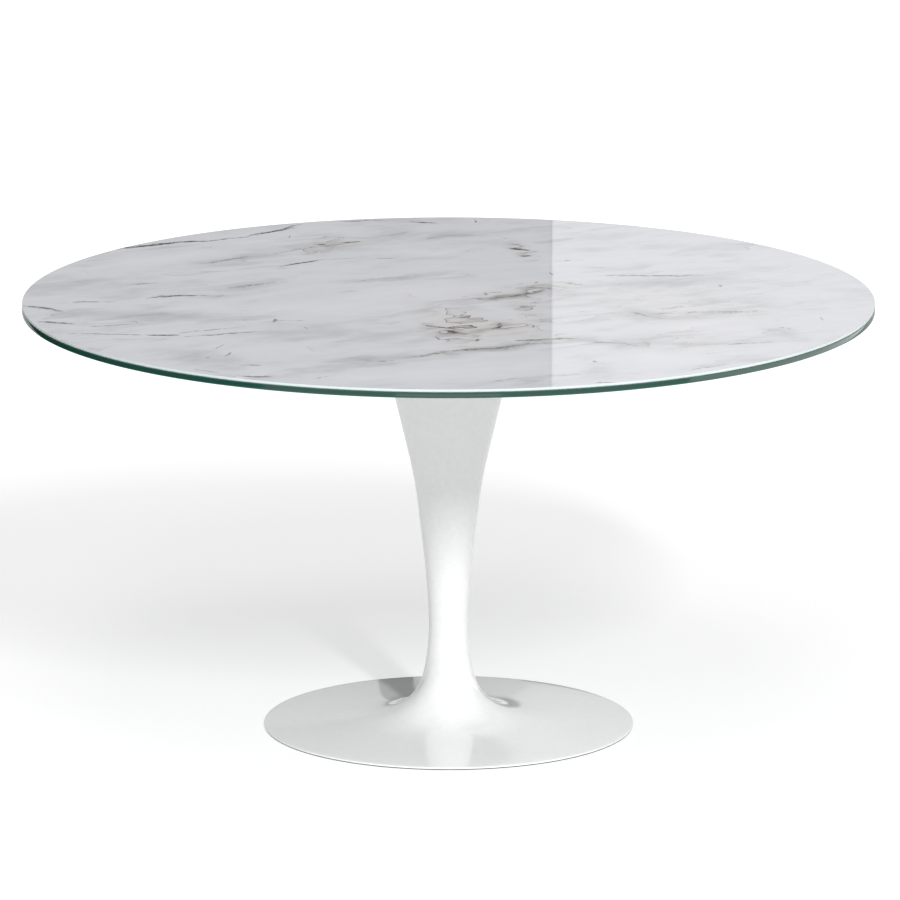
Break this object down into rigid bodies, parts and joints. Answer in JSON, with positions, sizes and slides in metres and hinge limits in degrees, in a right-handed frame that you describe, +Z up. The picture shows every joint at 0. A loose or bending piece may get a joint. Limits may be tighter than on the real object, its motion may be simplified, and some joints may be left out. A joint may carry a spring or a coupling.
{
  "type": "round pedestal table",
  "caption": "Round dining table: a thin marble-look ceramic top bonded to glass, on a white trumpet-shaped pedestal that flares into a flat disc base.",
  "frame": {"origin": "centre of the base, on the floor that the table stands on", "axes": "+Z up along the pedestal's axis; X and Y are the two horizontal directions"},
  "size_m": [1.5, 1.5, 0.77],
  "materials": {
    "marble_ceramic": "polished light grey marble-effect ceramic slab with soft grey bands, fine dark veins and a few warm brown ones",
    "bonding_film": "milky bonding film",
    "green_glass": "toughened float glass, backed by the slab, with a dark green polished edge",
    "white_lacquer": "high-gloss white lacquer on steel",
    "stainless_steel": "turned stainless steel",
    "zinc_plated_steel": "bright zinc plate",
    "primed_steel": "grey primer on steel",
    "cast_iron": "sand-cast iron, painted dark",
    "black_rubber": "matt black rubber",
    "natural_nylon": "natural nylon",
    "grey_felt": "pressed grey felt"
  },
  "bodies": {
    "root": {"ceramic_slab": "marble_ceramic", "bonding_film": "bonding_film", "glass_plate": "green_glass", "top_plate": "white_lacquer", "mouth_gasket": "black_rubber", "pedestal_shell": "white_lacquer", "head_collar": "primed_steel", "core_tube": "primed_steel", "waist_spacer": "natural_nylon", "tie_rod": "zinc_plated_steel", "upper_tie_washer": "zinc_plated_steel", "upper_tie_nut": "zinc_plated_steel", "lower_tie_washer": "zinc_plated_steel", "lower_tie_nut": "zinc_plated_steel", "ballast_casting": "cast_iron", "rim_seal": "black_rubber", "glass_boss_1": "stainless_steel", "glass_boss_2": "stainless_steel", "glass_boss_3": "stainless_steel", "glass_boss_4": "stainless_steel", "glass_boss_5": "stainless_steel", "glass_boss_6": "stainless_steel", "boss_isolator_1": "black_rubber", "boss_isolator_2": "black_rubber", "boss_isolator_3": "black_rubber", "boss_isolator_4": "black_rubber", "boss_isolator_5": "black_rubber", "boss_isolator_6": "black_rubber", "plate_washer_1": "zinc_plated_steel", "plate_washer_2": "zinc_plated_steel", "plate_washer_3": "zinc_plated_steel", "plate_washer_4": "zinc_plated_steel", "plate_washer_5": "zinc_plated_steel", "plate_washer_6": "zinc_plated_steel", "boss_screw_1": "zinc_plated_steel", "boss_screw_2": "zinc_plated_steel", "boss_screw_3": "zinc_plated_steel", "boss_screw_4": "zinc_plated_steel", "boss_screw_5": "zinc_plated_steel", "boss_screw_6": "zinc_plated_steel", "head_screw_1": "zinc_plated_steel", "head_screw_2": "zinc_plated_steel", "head_screw_3": "zinc_plated_steel", "head_screw_4": "zinc_plated_steel", "felt_pad_1": "grey_felt", "felt_pad_2": "grey_felt", "felt_pad_3": "grey_felt", "felt_pad_4": "grey_felt", "felt_pad_5": "grey_felt", "felt_pad_6": "grey_felt"}
  },
  "joints": []
}
